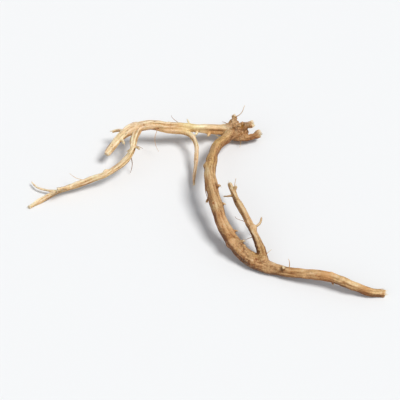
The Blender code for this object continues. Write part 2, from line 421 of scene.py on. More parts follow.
def nearestOn(line, spots):
    # for each spot its place on the centre line: how far along, the angle round it and its distance in radii
    centres = line["centres"]
    last = len(centres) - 2
    squares = (spots**2).sum(1)[:, None] + (centres**2).sum(1)[None] - 2 * spots @ centres.T
    nearest = squares.argmin(1)
    beyondEnds = 20  # spans that a spot may lie past either end
    gaps, spans, shares = [], [], []
    for span in (np.clip(nearest - 1, 0, last), np.clip(nearest, 0, last)):
        run = centres[span + 1] - centres[span]
        share = ((spots - centres[span]) * run).sum(1) / (run**2).sum(1)
        share = np.clip(share, np.where(span == 0, -beyondEnds, 0), np.where(span == last, beyondEnds, 1))
        gaps.append(np.linalg.norm(spots - centres[span] - run * share[:, None], axis=1))
        spans.append(span)
        shares.append(share)
    closer = gaps[1] < gaps[0]
    span = np.where(closer, spans[1], spans[0])
    share = np.where(closer, shares[1], shares[0])
    inner = np.clip(share, 0, 1)

    def between(values):
        weight = inner if values.ndim == 1 else inner[:, None]
        return values[span] * (1 - weight) + values[span + 1] * weight

    tangent = unit(between(line["tangents"]))
    offset = spots - between(centres)
    slip = (offset * tangent).sum(1)
    offset = offset - tangent * slip[:, None]
    radius = between(line["radii"])
    along = between(line["along"]) + slip
    whole = line["along"][-1]
    beyond = np.maximum(-along, 0) + np.maximum(along - whole, 0)
    around = np.arctan2((offset * between(line["ups"])).sum(1), (offset * between(line["sides"])).sum(1))
    reach = np.hypot(np.linalg.norm(offset, axis=1), beyond) / radius
    hidden = line["hidden"]
    if hidden:  # the parent keeps the skin there
        reach = reach + rootForm["hiddenReach"] * fadeOut((0.3 * hidden, hidden + 0.5), along)
    return {
        "reach": reach, "along": along, "radius": radius, "toTip": whole - along, "tangent": tangent,
        "around": around + rootForm["furrowTurn"] * along,
    }


def branchPlaces(places, lines):
    # for each point of the skin: which branch it is on, and its place on that branch
    count = len(places)
    farAway = 1e9
    margin = 5  # mm round a branch in which the skin can be its own
    at = {"branch": np.zeros(count, int), "tangent": np.zeros((count, 3))}
    for name in ("next", "reach", "along", "radius", "toTip", "around"):
        at[name] = np.full(count, farAway)
    for index, line in enumerate(lines):
        low = line["centres"].min(0) - margin
        high = line["centres"].max(0) + margin
        near = np.flatnonzero(((places > low) & (places < high)).all(1))
        found = nearestOn(line, places[near])
        isNearer = found["reach"] < at["reach"][near]
        at["next"][near] = np.where(isNearer, at["reach"][near], np.minimum(at["next"][near], found["reach"]))
        chosen = near[isNearer]
        at["branch"][chosen] = index
        for name, values in found.items():
            at[name][chosen] = values[isNearer]
    return at


def noiseAt(spots):
    return np.fromiter((noise.noise(spot) for spot in spots.tolist()), float, len(spots))


def smoothStep(low, high, values):
    share = np.clip((values - low) / (high - low), 0, 1)
    return share * share * (3 - 2 * share)


def fadeOut(reach, away):
    # 1 nearer than the first number of the reach, 0 past the second
    return 1 - smoothStep(*reach, away)


def hump(away, width, power=2):
    # 1 in the middle, falling off over the width; a higher power makes it flatter and steeper
    return np.exp(-((away / width) ** power))


relief = {
    "softenings": 3,  # passes that keep the relief no sharper than the skin's grain can carry
    "toneBlends": 60,  # passes that blend the tones of two limbs where they join
    "paintedUnderShade": 0.34,  # painted shade: how much darker the undersides are painted
    "paintedUnderShadeFrom": (-0.1, 0.93),  # how far a normal points up where the painted shade is full, and where it has faded out
    "paintedShadeAndBrowningFrom": 0.1,  # tone from which a limb's skin gets the full tint of painted shade and browning
    "joinDepth": 0.25,  # share of the folds and seams that is left where limbs meet
    "joinReach": (0.1, 0.9),  # how much nearer, in radii, its own limb is where they grow, and are whole
    "seamWidth": 0.3,  # mm
    "seamDepth": 0.22,
    "seamFullRadius": 1.5,  # mm of radius from which a limb's seams are that deep
    "seamWander": 0.8,  # radians
    "seamWanderSpacing": 11.0,
    "seamStretch": 6.5,  # mm over which a seam opens or closes
    "seamOpens": (-0.2, 0.35),  # noise at which it begins to open, and is open
    "foldSpacing": 1.5,  # mm between the drying folds, which run along a limb
    "foldLength": 14.0,
    "foldDepth": 0.15,  # share of the limb's radius
    "foldWidth": 0.16,  # share of the noise that is groove, and so for the wrinkles
    "foldSway": 0.25,  # radians
    "foldSwaySpacing": 3.1,
    "foldPatch": (3.5, 9.0),  # mm across and along over which the folds come and go
    "foldPatchFrom": (-0.25, 0.3),  # noise at which they begin, and are full
    "foldStrength": (0.35, 0.85),  # share of their depth that is there everywhere, and that the patches add
    "foldDark": 0.8,
    "wrinkleSpacing": 0.75,  # mm between the fine wrinkles on and between the folds
    "wrinkleLength": 5.0,
    "wrinkleDepth": 0.11,  # mm
    "wrinkleWidth": 0.22,
    "wrinkleDark": 0.3,
    "bandSpacing": 0.9,  # mm between the cross wrinkles
    "bandDepth": 0.05,
    "bandPatch": 6.0,
    "bandPatchFrom": (0.0, 0.35),
    "lumpSpacing": 2.2,
    "lumpHeight": 0.1,  # share of the limb's radius
    "scarSeed": 5,
    "scarCount": 70,
    "scarRadius": (0.22, 0.6),
    "scarHeight": 0.12,
    "scarCollar": (0.9, 0.4),  # where the collar stands and its width, in the scar's radii
    "scarPit": 0.5,
    "scarRise": (1.3, -1.6),  # shares of the height that the collar rises and the pit sinks
    "tipRagged": 0.6,  # mm that the fibres of a snapped tip stand out or fall short
    "tipFade": (0.2, 0.55),  # least and greatest mm over which a snapped face fades into the skin
    "pithDepth": 0.45,  # share of a snapped limb's radius that its pith has sunk
    "pithReach": 0.4,
    "crusts": [  # where bark has dried to scales: a middle, and the reach in mm over which it fades out
        ((10.9, 28.6, 3.6), (2.8, 5.6)), ((17.7, 26.9, 2.8), (0.7, 1.9)),
    ],
    "crustSpacing": 0.95,  # mm between the scales of the crust
    "crustDepth": 0.5,
    "crustWarp": 0.9,
    "crustGrain": 0.1,  # mm of the fine unevenness on the scales
    "crustGrainSpacing": 0.42,
    "pits": [  # old scars that show dark: place, radius in mm
        ((3.9, -5.4, 9.0), 0.5), ((2.6, 9.0, 10.2), 0.34), ((-8.5, 24.9, 8.2), 0.32),
        ((6.1, -12.0, 7.2), 0.36), ((30.4, -25.6, 4.4), 0.34),
    ],
    "blushAndShadePlaces": [  # browner, pinker skin, most of it on the right leg's left side, where it is also painted shade: place, reach in mm
        ((1.2, 1.5, 8.6), 2.6), ((1.8, -3.5, 7.8), 2.8), ((4.4, -9.0, 6.2), 3.4), ((7.4, -13.8, 4.4), 3.6),
        ((10.2, -18.2, 2.4), 3.4), ((14.6, -21.0, 1.4), 3.2), ((4.0, 25.8, 3.2), 4.4),
        ((25.0, -23.2, 2.8), 2.6), ((33.0, -25.8, 3.8), 2.8), ((43.0, -28.4, 2.4), 2.6),
        ((15.0, 25.4, 2.4), 2.8),
    ],
    "zoneFade": (0.4, 1.2),  # shares of its reach at which skin of another tint is full, and is over
    "paleFrom": (18.0, 30.0),  # x over which the painted shade on the right leg's far part fades out again
    "sallowAndLightPlaces": [  # paler, yellower skin: the join of the side rootlet, and the tops of both legs, where it is also painted light
        ((15.8, -18.4, 4.0), 2.4), ((6.4, 19.6, 8.4), 5.0), ((3.6, 11.6, 10.4), 4.5),
        ((-4.0, 26.0, 7.6), 3.8), ((10.4, 31.6, 5.8), 0.9),
    ],
    "roughCentre": (14.6, -19.4, 2.6),  # the right leg's low bend, where the skin has dried rough
    "roughReach": (2.0, 9.0),
    "roughSpacing": 0.6,
    "roughHeight": 0.16,
    "roughTone": 0.09,  # how much browner it is there
    "resinPlace": (12.2, 28.2, 5.2),  # a hollow by the upper stub, where sap has dried to ochre resin
    "resinRadius": 0.95,
    "resinDepth": 0.55,
    "tubercles": [  # place and height in mm of small nodules, most of them on the low bend
        ((12.2, -16.4, 5.0), 0.42), ((13.8, -20.6, 3.8), 0.36), ((15.4, -21.6, 3.0), 0.28),
        ((-20.0, 17.6, 8.0), 0.3), ((10.6, -17.9, 4.6), 0.26), ((19.6, -20.8, 3.4), 0.24),
        ((34.6, -25.0, 5.2), 0.26),
    ],
    "tubercleRadius": 0.5,
    "hollowContrast": 2.7,  # how much darker the hollows are painted than the ridges: browner skin in the folds, and painted shade
}


def tubeSpots(at, reach, level):
    # places on a straight tube that stands for the branch
    return np.stack([reach * np.cos(at["around"]), reach * np.sin(at["around"]), level], axis=1)


def grainSpots(at, spacing, length, shift):
    # the same with the branch's length shrunk, so that noise read there runs along the branch
    return tubeSpots(at, at["radius"] / spacing, at["along"] / length + at["branch"] * 17.3 + shift)


def foldsAndWrinkles(places, at, furrows):
    # height in mm of the drying folds, which come and go along a limb, and the darkness painted in them:
    # browner skin, and painted shade
    sway = relief["foldSway"] * noiseAt(places / relief["foldSwaySpacing"])
    warped = dict(at, around=at["around"] + sway)
    everywhere, inPatches = relief["foldStrength"]
    patch = smoothStep(*relief["foldPatchFrom"], noiseAt(grainSpots(at, *relief["foldPatch"], 31)))
    strength = everywhere + inPatches * patch
    fold = noiseAt(grainSpots(warped, relief["foldSpacing"], relief["foldLength"], 0))
    foldGroove = np.clip(1 - np.abs(fold) / relief["foldWidth"], 0, 1) ** 1.5 * strength * furrows
    wrinkle = noiseAt(grainSpots(warped, relief["wrinkleSpacing"], relief["wrinkleLength"], 7))
    wrinkleGroove = np.clip(1 - np.abs(wrinkle) / relief["wrinkleWidth"], 0, 1) * (1.2 - 0.6 * strength)
    wrinkleGroove = wrinkleGroove * (0.4 + 0.6 * furrows)
    rise = -relief["foldDepth"] * at["radius"] * foldGroove - relief["wrinkleDepth"] * wrinkleGroove
    return rise, np.clip(foldGroove * relief["foldDark"] + wrinkleGroove * relief["wrinkleDark"], 0, 1)


def crossBands(places, at):
    # wrinkles round a limb, in patches
    band = noiseAt(tubeSpots(at, 0.9, at["along"] / relief["bandSpacing"] + at["branch"] * 11.0))
    patch = smoothStep(*relief["bandPatchFrom"], noiseAt(places / relief["bandPatch"] + 20))
    return relief["bandDepth"] * band * patch


def noiseAlong(steps, shift, lift=0):
    flat = np.full(len(steps), shift)
    return noiseAt(np.stack([steps, flat, flat + lift], axis=1))


def seamGrooves(at, lines, branches):
    # the deep furrows between strands, each beginning at a listed side of its limb and wandering along it
    groove = np.zeros(len(at["along"]))
    for index, (line, branch) in enumerate(zip(lines, branches)):
        here = np.flatnonzero(at["branch"] == index)
        middle = len(line["centres"]) // 2
        for number, side in enumerate(branch["seams"]):
            start = math.atan2(line["ups"][middle] @ side, line["sides"][middle] @ side)
            start += rootForm["furrowTurn"] * line["along"][middle]
            along = at["along"][here]
            shift = 3.7 * index + 1.9 * number
            wander = noiseAlong(along / relief["seamWanderSpacing"], shift)
            opening = noiseAlong(along / relief["seamStretch"], shift, 50)
            presence = smoothStep(*relief["seamOpens"], opening) * branch["furrows"]
            turn = at["around"][here] - start - relief["seamWander"] * wander
            away = np.abs((turn + math.pi) % (2 * math.pi) - math.pi) * at["radius"][here]
            groove[here] = np.maximum(groove[here], presence * hump(away, relief["seamWidth"]))
    return groove


def crusts(places):
    # bark dried into small uneven scales with gaps between them
    crust = np.zeros(len(places))
    for middle, reach in relief["crusts"]:
        crust = np.maximum(crust, fadeOut(reach, distanceTo(places, middle)))
    rise = np.zeros(len(places))
    gap = np.zeros(len(places))
    tone = np.zeros(len(places))
    for index in np.flatnonzero(crust > 0.01):
        spot = Vector(places[index] / relief["crustSpacing"])
        warp = Vector((noise.noise(spot * 0.6), noise.noise(spot * 0.6 + Vector((9, 0, 0))), 0))
        spot += warp * relief["crustWarp"]
        distances, cells = noise.voronoi(spot)
        edge = min((distances[1] - distances[0]) / 0.5, 1.0)
        tone[index] = noise.cell(cells[0] * 7.0)
        rise[index] = relief["crustDepth"] * (0.6 * edge - 0.5 + 0.5 * tone[index])
        gap[index] = 1 - edge
    rise += relief["crustGrain"] * noiseAt(places / relief["crustGrainSpacing"])
    return crust, rise, gap, tone


def scars(places):
    # healed stubs: a raised collar round a small dark pit, most of them scattered by seeded draws
    dice = random.Random(relief["scarSeed"])
    healed = []
    for turn in range(relief["scarCount"]):
        centre = places[dice.randrange(len(places))]
        healed.append((centre, dice.uniform(*relief["scarRadius"]), dice.uniform(0.3, 1.0)))
    for place, radius in relief["pits"]:
        healed.append((nearestPlace(places, place), radius, 1.3))
    collarAt, collarWidth = relief["scarCollar"]
    collarRise, pitRise = relief["scarRise"]
    scar = np.zeros(len(places))
    rise = np.zeros(len(places))
    for centre, radius, strength in healed:
        distance = distanceTo(places, centre) / radius
        near = distance < 2.5
        collar = hump(distance[near] - collarAt, collarWidth)
        pit = hump(distance[near], relief["scarPit"])
        shape = collarRise * collar + pitRise * pit
        rise[near] += relief["scarHeight"] * radius * shape * max(strength, 1.0)
        scar[near] = np.maximum(scar[near], np.clip(0.5 * collar + pit, 0, 1) * strength)
    return scar, rise


def tubercles(places):
    rise = np.zeros(len(places))
    for place, height in relief["tubercles"]:
        distance = distanceTo(places, nearestPlace(places, place))
        rise += height * hump(distance, relief["tubercleRadius"])
    return rise


def roughness(places):
    return fadeOut(relief["roughReach"], distanceTo(places, relief["roughCentre"]))


def zone(places, spots):
    # 1 within reach of any of the listed spots
    share = np.zeros(len(places))
    for place, reach in spots:
        share = np.maximum(share, fadeOut(relief["zoneFade"], distanceTo(places, place) / reach))
    return share


def resinHollow(places):
    centre = nearestPlace(places, relief["resinPlace"])
    return hump(distanceTo(places, centre), relief["resinRadius"], 4)


def perBranch(branches, key, at):
    # for each point of the skin, what its branch has under the key
    return np.array([branch[key] for branch in branches])[at["branch"]]


def carve(places, mesh, at, edges, lines, branches):
    # the relief of the dried skin, and the marks that its colours are read from
    normals = normalsAt(places, mesh)
    apart = smoothStep(*relief["joinReach"], at["next"] - at["reach"])
    onLimb = relief["joinDepth"] + (1 - relief["joinDepth"]) * apart
    foldRise, foldDark = foldsAndWrinkles(places, at, perBranch(branches, "furrows", at))
    seam = seamGrooves(at, lines, branches) * onLimb
    scar, scarRise = scars(places)
    crust, crustRise, crustGap, crustTone = crusts(places)
    rough = roughness(places)
    resin = resinHollow(places)
    lump = relief["lumpHeight"] * at["radius"] * noiseAt(places / relief["lumpSpacing"] + 9)
    seamDepth = relief["seamDepth"] * np.clip(at["radius"] / relief["seamFullRadius"], 0.4, 1)
    rise = foldRise * onLimb + lump + crossBands(places, at) - seamDepth * seam
    grain = relief["roughHeight"] * rough * noiseAt(places / relief["roughSpacing"])
    rise = rise * (1 - 0.6 * crust) + scarRise + tubercles(places) + grain
    rise = rise - relief["resinDepth"] * resin
    for turn in range(relief["softenings"]):
        rise = (rise + neighbourMean(rise, edges)) / 2
    crustRise = crustRise * crust
    rise = rise + (crustRise + neighbourMean(crustRise, edges)) / 2
    blushAndShade = zone(places, relief["blushAndShadePlaces"])
    sallowAndLight = zone(places, relief["sallowAndLightPlaces"])
    places = places + normals * rise[:, None]
    ends = brokenEnds(at, branches)
    facing = smoothStep(0.1, 0.7, (normals * at["tangent"]).sum(1))
    pith = ends * facing * hump(at["reach"], relief["pithReach"])
    jag = noiseAt(tubeSpots(at, 2.2, at["branch"] * 5.0)) + 0.6 * noiseAt(places / 0.4)
    ragged = np.minimum(relief["tipRagged"], at["radius"] * 0.55) * ends * jag
    sunk = relief["pithDepth"] * at["radius"] * pith
    places = places + at["tangent"] * (ragged - sunk)[:, None]
    # the curvature: hollows are painted darker below, partly as browner skin in the folds and partly as
    # painted shade
    lowered = neighbourMean(places, edges) - places
    hollow = (lowered * normalsAt(places, mesh)).sum(1) / rootForm["voxel"]
    hollow = neighbourMean(neighbourMean(hollow, edges), edges)
    # darkness painted in the folds, seams and sunk pith, and below in the gaps of the crust: partly browner
    # skin, partly painted shade
    groove = np.maximum(np.maximum(foldDark * onLimb, 0.7 * seam), pith)
    # each limb's tone, which is painted light and shade, blended where limbs join, with the browner rough
    # skin added
    tone = perBranch(branches, "tone", at)
    for turn in range(relief["toneBlends"]):
        tone = neighbourMean(tone, edges)
    tone = tone + relief["roughTone"] * rough
    farShare = smoothStep(*relief["paleFrom"], places[:, 0])
    shade = np.clip(0.5 + hollow * relief["hollowContrast"], 0, 1)
    # painted shade: the skin is painted darker where its normal turns down, as on the undersides
    shade = shade + relief["paintedUnderShade"] * fadeOut(relief["paintedUnderShadeFrom"], normals[:, 2])
    marks = {
        "hollow": shade * (1 - 0.4 * crust) + 0.4 * crust * crustTone + tone,
        "groove": np.maximum(groove * (1 - crust), 0.45 * crustGap * crust),
        "scar": scar, "broken": ends * facing * (1 - 0.6 * pith), "crust": crust, "resin": resin,
        "flecked": np.maximum(crust, 0.5 * rough), "blushAndShade": blushAndShade, "sallowAndLight": sallowAndLight,
        # painted shade and browning: a greyer, darker tint where the tone is above 0, fading on the right
        # leg's far part
        "paintedShadeAndBrowning": np.clip(tone / relief["paintedShadeAndBrowningFrom"], 0, 1) * (1 - 0.7 * farShare),
    }
    return places, marks


def brokenEnds(at, branches):
    # 1 on the snapped face of a branch, fading out along its last half millimetre
    endsBroken = perBranch(branches, "brokenTip", at)
    depth = np.clip(at["radius"] * 0.6, *relief["tipFade"])
    return endsBroken * fadeOut((0, 1), at["toTip"] / depth)


def finishMesh(mesh, places, marks, name):
    # the mesh in metres and in its place, with its marks kept as attributes for the material
    shifted = np.array(places) - (0, rootForm["middleAcross"], 0)
    shifted[:, 2] = np.maximum(shifted[:, 2], 0.0)
    mesh.vertices.foreach_set("co", (shifted * mm).ravel())
    for key, values in marks.items():
        values = np.array(values)
        kind, field = ("FLOAT_VECTOR", "vector") if values.ndim == 2 else ("FLOAT", "value")
        attribute = mesh.attributes.new(key, kind, "POINT")
        attribute.data.foreach_set(field, values.ravel().astype(np.float32))
    mesh.update()
    mesh.shade_smooth()
    return addObject(name, mesh)


def nearKnots(places):
    # 1 on the crease round each knot, where it meets its limb
    near = np.zeros(len(places))
    for x, y, z, diameter in knots:
        away = np.abs(distanceTo(places, wandered(Vector((x, y, z)))) - diameter / 2)
        near = np.maximum(near, fadeOut(rootForm["knotCrease"], away))
    return near


def borders(grain, edges):
    # 1 where the grain of one branch meets that of another
    border = np.zeros(len(grain))
    jump = np.linalg.norm(grain[edges[:, 0]] - grain[edges[:, 1]], axis=1)
    border[edges[jump > 2.5 * rootForm["voxel"]].ravel()] = 1
    return border


def makeRootSkin(branches):
    skin = fusedSkin(branches)
    print("fused skin:", len(skin.vertices), "points")
    edges = readRows(skin.edges, "vertices", 2, np.int64)
    places = rounded(readRows(skin.vertices, "co", 3), edges, rootForm["roundings"])
    lines = centreLines(branches)
    at = branchPlaces(places, lines)
    nearFork = fadeOut(rootForm["forkReach"], at["next"] - at["reach"])
    nearFork = nearFork * np.where(perBranch(branches, "isStub", at), rootForm["stubForkShare"], 1.0)
    softening = np.maximum(nearFork, nearKnots(places))[:, None]
    for turn in range(rootForm["forkRoundings"]):
        places = places + 0.5 * softening * (neighbourMean(places, edges) - places)
    places, marks = carve(places, skin, at, edges, lines, branches)
    onTube = tubeSpots(at, at["radius"], at["along"] + at["branch"] * 40.0)
    marks["grain"] = np.roll(onTube, 1, axis=1)  # the way along the branch comes first
    marks["border"] = borders(marks["grain"], edges)
    ground = {"places": places, "normals": normalsAt(places, skin), "tangents": at["tangent"]}
    return finishMesh(skin, places, marks, "rootSkin"), ground


def newStrands():
    return {name: [] for name in ("places", "faces", "grain", "hollow", "broken")}


def addStrand(strands, course, form, dice):
    # one closed tapering strand through places and diameters
    places = [place for place, diameter in course]
    sides = form["sides"]
    tone = dice.uniform(*form["tone"])
    start = dice.uniform(0, 500)
    side = (places[1] - places[0]).orthogonal()
    first = len(strands["places"])
    for ring, (place, diameter) in enumerate(course):
        tangent = (places[min(ring + 1, len(places) - 1)] - places[max(ring - 1, 0)]).normalized()
        side = (side - tangent * side.dot(tangent)).normalized()
        up = tangent.cross(side)
        for turn in range(sides):
            angle = 2 * math.pi * turn / sides
            reach = diameter / 2 * (1 + 0.25 * noise.noise(place * 2.3 + side * math.cos(2 * angle)))
            strands["places"].append(place + (side * math.cos(angle) + up * math.sin(angle)) * reach)
            strands["grain"].append((start + ring * 0.4, reach * math.cos(angle), reach * math.sin(angle)))
            strands["hollow"].append(tone)
            strands["broken"].append(form["broken"])
    for ring in range(len(course) - 1):
        for turn in range(sides):
            here = first + ring * sides + turn
            beside = first + ring * sides + (turn + 1) % sides
            strands["faces"].append((here, beside, beside + sides, here + sides))
    strands["faces"].append([first + turn for turn in reversed(range(sides))])
    strands["faces"].append([first + (len(course) - 1) * sides + turn for turn in range(sides)])


def finishStrands(strands, name):
    mesh = bpy.data.meshes.new(name)
    mesh.from_pydata(strands["places"], [], strands["faces"])
    marks = {key: strands[key] for key in ("grain", "hollow", "broken")}
    return finishMesh(mesh, strands["places"], marks, name)


hairForm = {
    "seed": 4,
    "count": 20,
    "length": (2.0, 9.0),
    "thickness": (0.16, 0.3),
    "sides": 7,
    "step": 0.4,
    "growsTo": 0.85,  # share of its limb along which it may be rooted
    "rootedAt": 0.35,  # share of its limb's diameter from the centre line
    "footWidth": 1.7,  # how much thicker it is where it is rooted
    "taper": 0.65,
    "lean": (0.2, 1.6),  # how much it heads along its limb
    "sway": 0.3,
    "swayRate": 0.45,
    "droop": 0.02,
    "tone": (0.45, 0.9),
    "broken": 0.0,
    "clearance": 0.3,  # mm that a hair keeps above the table and inside the root's box
}


def makeHairRootlets():
    # the finest rootlets, dried into wiry hairs; each ends before it meets the table or leaves the root's box
    form = hairForm
    dice = random.Random(form["seed"])
    strands = newStrands()
    courses = [limbCourse(limb, rootForm["stubRings"]) for limb in limbs.values()]
    for turn in range(form["count"]):
        course = dice.choices(courses, [len(course) for course in courses])[0]
        ring = dice.randrange(1, max(3, round(len(course) * form["growsTo"])))
        place, diameter, travelled = course[ring]
        along = (course[ring + 1][0] - place).normalized()
        outward = outwardFrom(along, dice)
        spot = place + outward * diameter * form["rootedAt"]
        heading = (outward + along * dice.uniform(*form["lean"])).normalized()
        thickness = dice.uniform(*form["thickness"])
        steps = round(dice.uniform(*form["length"]) / form["step"])
        shifts = [Vector(shift) for shift in ((turn, 0, 0), (0, turn, 30), (60, 0, turn))]
        hair = [(spot, thickness * form["footWidth"])]
        for step in range(steps):
            sway = Vector([noise.noise(spot * form["swayRate"] + shift) for shift in shifts])
            heading = (heading + sway * form["sway"] - Vector((0, 0, form["droop"]))).normalized()
            spot = spot + heading * form["step"]
            if spot.z < form["clearance"] or not insideBox(spot):
                break
            hair.append((spot, thickness * (1 - form["taper"] * step / steps)))
        if len(hair) > 3:
            addStrand(strands, hair, form, dice)
    return finishStrands(strands, "hairRootlets")


def insideBox(spot):
    low, high = (np.array(corner) / mm for corner in cadBox)
    place = np.array(spot) - (0, rootForm["middleAcross"], 0)
    gap = hairForm["clearance"]
    return bool((place > low + gap).all() and (place < high - gap).all())


tornForm = {
    "seed": 9,
    "perTip": 7,
    "length": (0.3, 1.1),
    "thickness": (0.07, 0.15),
    "sides": 5,
    "sunk": 0.5,  # mm that its foot is sunk in the tip
    "rootedWithin": 0.42,  # share of the tip's diameter from its middle
    "bendAt": 0.4,
    "splay": (0.0, 0.9),
    "taper": (1.0, 0.8, 0.3),
    "tone": (0.1, 0.6),
    "broken": 0.7,  # how much of the snapped faces' paleness it has
}


def makeTornFibres(branches):
    # wisps of torn fibre that stand out of every snapped tip
    form = tornForm
    dice = random.Random(form["seed"])
    strands = newStrands()
    for branch in branches:
        tip, diameter, travelled = branch["course"][-1]
        along = (tip - branch["course"][-2][0]).normalized()
        count = max(2, round(form["perTip"] * min(diameter, 2.0) / 2)) if branch["brokenTip"] else 0
        for turn in range(count):
            outward = outwardFrom(along, dice)
            length = dice.uniform(*form["length"]) * min(1.0, 0.3 + diameter / 2.4)
            thickness = dice.uniform(*form["thickness"])
            aside = outward * diameter * form["rootedWithin"] * math.sqrt(dice.random())
            root = tip + aside - along * form["sunk"]
            middle = root + along * (form["sunk"] + length * form["bendAt"])
            splay = dice.uniform(*form["splay"])
            end = middle + (along + outward * splay).normalized() * length * (1 - form["bendAt"])
            course = [(place, thickness * share) for place, share in zip((root, middle, end), form["taper"])]
            addStrand(strands, course, form, dice)
    return finishStrands(strands, "tornFibres")


looseForm = {
    "seed": 21,
    "count": 60,
    "length": (1.5, 5.0),
    "thickness": (0.06, 0.12),
    "sides": 5,
    "step": 0.35,
    "sunk": 0.02,  # mm that its foot is sunk in the skin
    "lift": (0.0, 0.5),
    "taper": 0.6,
    "tone": (0.3, 1.0),
    "broken": 0.0,
    "clearance": 0.2,  # mm above the table
}


def makeLooseFibres(ground):
    # fine fibres of the skin that have come loose: each follows the skin and lifts off at its end
    form = looseForm
    dice = random.Random(form["seed"])
    strands = newStrands()
    tree = kdtree.KDTree(len(ground["places"]))
    for index, place in enumerate(ground["places"]):
        tree.insert(place, index)
    tree.balance()
    for turn in range(form["count"]):
        spot = Vector(ground["places"][dice.randrange(len(ground["places"]))])
        direction = dice.choice((-1, 1))
        lift = dice.uniform(*form["lift"])
        thickness = dice.uniform(*form["thickness"])
        steps = round(dice.uniform(*form["length"]) / form["step"])
        fibre = []
        for step in range(steps + 1):
            share = step / steps
            skinPlace, index, distance = tree.find(spot)
            normal = Vector(ground["normals"][index])
            spot = spot - normal * (spot - skinPlace).dot(normal)
            height = lift * share**3 - form["sunk"]
            fibre.append((spot + normal * height, thickness * (1 - form["taper"] * share)))
            spot = spot + Vector(ground["tangents"][index]) * direction * form["step"]
        if min(place.z for place, diameter in fibre) > form["clearance"]:
            addStrand(strands, fibre, form, dice)
    return finishStrands(strands, "looseFibres")


def toLinear(hexColour):
    channels = [int(hexColour[i:i + 2], 16) / 255 for i in (1, 3, 5)]
    linear = [c / 12.92 if c <= 0.04045 else ((c + 0.055) / 1.055) ** 2.4 for c in channels]
    return (*linear, 1.0)


def addNode(tree, kind, inputs=None, settings=None, stops=None):
    # one node with its input values or links, its settings, and a ramp's stops
    node = tree.nodes.new("ShaderNode" + kind)
    for name, value in (settings or {}).items():
        setattr(node, name, value)
    for socket, value in (inputs or {}).items():
        if isinstance(value, bpy.types.NodeSocket):
            tree.links.new(value, node.inputs[socket])
        else:
            node.inputs[socket].default_value = value
    if stops:
        ramp = node.color_ramp
        while len(ramp.elements) < len(stops):
            ramp.elements.new(1.0)
        for element, (position, colour) in zip(ramp.elements, stops):
            element.position = position
            element.color = toLinear(colour)
    return node


driedSkin = {
    # the body colours from ridge to crevice, which also paint the shade of hollows and undersides
    "ridge": "#FEF6E2",
    "flesh": "#DFBF92",
    "furrow": "#91643A",
    "crevice": "#472A12",
    "rust": "#A05A2A",
    "crust": "#A37342",
    "resin": "#A06C1C",
    "brokenFace": "#F0DFBC",
    "creamTint": "#FFFADD",
    "pinkTint": "#FBE5CA",
    "blushAndShadeTint": "#E5C59E",
    # tint of the painted shade and browning on limbs whose tone is above 0
    "paintedShadeAndBrowningTint": "#E5E3E3",
    "sallowAndLightTint": "#F8F1D0",
    "paleFleck": "#EBC798",
    "brownFleck": "#845530",
    "fibreSpacing": 0.28,  # mm; the real fibres are finer, and are drawn this coarse so that they show
    "fibreLength": 3.5,
    "streakSpacing": 0.9,  # mm across the darker and paler streaks
    "streakLength": 8.0,
    "blotchSize": 4.0,
    "zoneSize": 9.0,  # mm over which the skin turns from cream to pink
    "speckSize": 0.45,
    "fleckSpacing": 0.34,
    "poreSpacing": 0.6,
    "poreStretch": 0.36,  # a pore's width as a share of its length
    "fibreShade": 0.5,  # how much each noise darkens the skin
    "blotchShade": 0.45,
    "streakShade": 0.4,
    "speckShade": 0.45,
    "shadeRange": (1.02, 2.0),  # sum of the shades from the palest ridge to the darkest crevice
    "bumps": {"fibre": 0.22, "poreDark": -0.05, "speck": 0.13, "fleckRise": 0.14},  # mm, sunk below 0
    "roughness": 0.62,
    "resinRoughness": 0.3,
    "ior": 1.45,
    "specular": 0.4,
    "glow": 0.08,  # light that enters the skin and comes out beside
    "glowDepth": 0.6,  # mm
}


